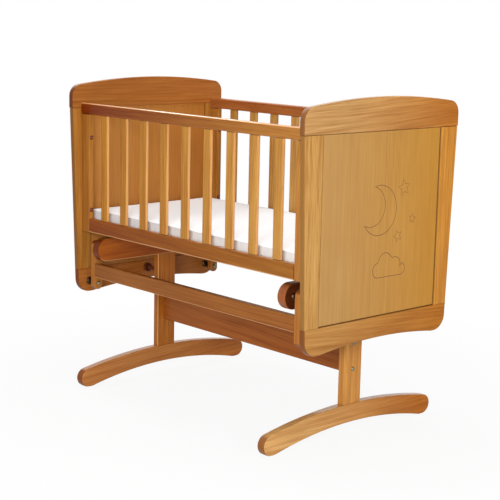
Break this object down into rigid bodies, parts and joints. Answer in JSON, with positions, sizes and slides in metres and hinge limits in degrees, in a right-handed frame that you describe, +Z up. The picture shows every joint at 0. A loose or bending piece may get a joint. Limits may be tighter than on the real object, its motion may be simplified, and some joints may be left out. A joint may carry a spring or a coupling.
{
  "type": "pendulum crib",
  "caption": "Slatted wooden cradle with arched panelled ends, hung on swing links from a low stand with bowed feet, with a mattress and a knob that locks the swing.",
  "frame": {"origin": "on the floor, in the middle of the object's plan", "axes": "+X along the crib towards the end nearer the picture's camera, +Y across the crib to the side without the swing rail, +Z up"},
  "size_m": [0.941, 0.6118, 0.867],
  "materials": {
    "frame_wood": "honey pine stain under satin lacquer",
    "panel_wood": "honey pine stain under satin lacquer, fine upright grain",
    "slat_wood": "honey pine stain under satin lacquer",
    "stand_wood": "honey pine stain under satin lacquer",
    "base_board": "bare board",
    "mattress_cover": "white cotton cover with a faint quilt",
    "bolt_steel": "zinc plated"
  },
  "bodies": {
    "stand": {"left_foot": "stand_wood", "right_foot": "stand_wood", "left_post": "stand_wood", "right_post": "stand_wood", "left_top_bar": "stand_wood", "right_top_bar": "stand_wood", "stretcher_board": "stand_wood", "front_left_upper_pivot_bolt": "bolt_steel", "front_right_upper_pivot_bolt": "bolt_steel", "back_left_upper_pivot_bolt": "bolt_steel", "back_right_upper_pivot_bolt": "bolt_steel"},
    "front_swing": {"front_left_link": "frame_wood", "front_right_link": "frame_wood", "front_swing_rail": "frame_wood"},
    "back_left_swing": {"back_left_link": "frame_wood"},
    "back_right_swing": {"back_right_link": "frame_wood"},
    "cradle": {"left_end_top_rail": "frame_wood", "left_end_bottom_rail": "frame_wood", "left_end_front_stile": "frame_wood", "left_end_back_stile": "frame_wood", "left_end_panel": "panel_wood", "right_end_top_rail": "frame_wood", "right_end_bottom_rail": "frame_wood", "right_end_front_stile": "frame_wood", "right_end_back_stile": "frame_wood", "right_end_panel": "panel_wood", "front_side_top_rail": "frame_wood", "front_side_bottom_rail": "frame_wood", "front_side_left_stile": "frame_wood", "front_side_right_stile": "frame_wood", "front_slat_1": "slat_wood", "front_slat_2": "slat_wood", "front_slat_3": "slat_wood", "front_slat_4": "slat_wood", "front_slat_5": "slat_wood", "front_slat_6": "slat_wood", "front_slat_7": "slat_wood", "front_slat_8": "slat_wood", "front_slat_9": "slat_wood", "back_side_top_rail": "frame_wood", "back_side_bottom_rail": "frame_wood", "back_side_left_stile": "frame_wood", "back_side_right_stile": "frame_wood", "back_slat_1": "slat_wood", "back_slat_2": "slat_wood", "back_slat_3": "slat_wood", "back_slat_4": "slat_wood", "back_slat_5": "slat_wood", "back_slat_6": "slat_wood", "back_slat_7": "slat_wood", "back_slat_8": "slat_wood", "back_slat_9": "slat_wood", "mattress_base": "base_board", "mattress": "mattress_cover", "front_left_lower_pivot_bolt": "bolt_steel", "front_right_lower_pivot_bolt": "bolt_steel", "back_left_lower_pivot_bolt": "bolt_steel", "back_right_lower_pivot_bolt": "bolt_steel"},
    "lock": {"lock_knob": "frame_wood"}
  },
  "joints": [
    {"name": "swing", "type": "hinge", "parent": "stand", "child": "front_swing", "pos_m": [0, -0.218, 0.389], "axis": [1, 0, 0], "range_deg": [-15, 15]},
    {"name": "cradle_level", "type": "hinge", "parent": "front_swing", "child": "cradle", "pos_m": [0, -0.218, 0.287], "axis": [1, 0, 0], "range_deg": [-15, 15]},
    {"name": "back_left_pivot", "type": "hinge", "parent": "stand", "child": "back_left_swing", "pos_m": [-0.418, 0.218, 0.389], "axis": [1, 0, 0], "range_deg": [-15, 15]},
    {"name": "back_right_pivot", "type": "hinge", "parent": "stand", "child": "back_right_swing", "pos_m": [0.418, 0.218, 0.389], "axis": [1, 0, 0], "range_deg": [-15, 15]},
    {"name": "lock_travel", "type": "slide", "parent": "cradle", "child": "lock", "axis": [1, 0, 0], "range_m": [0, 0.0075]}
  ],
  "couplings": [
    {"joint": "cradle_level", "follows": "swing", "ratio": -1},
    {"joint": "back_left_pivot", "follows": "swing", "ratio": 1},
    {"joint": "back_right_pivot", "follows": "swing", "ratio": 1}
  ]
}
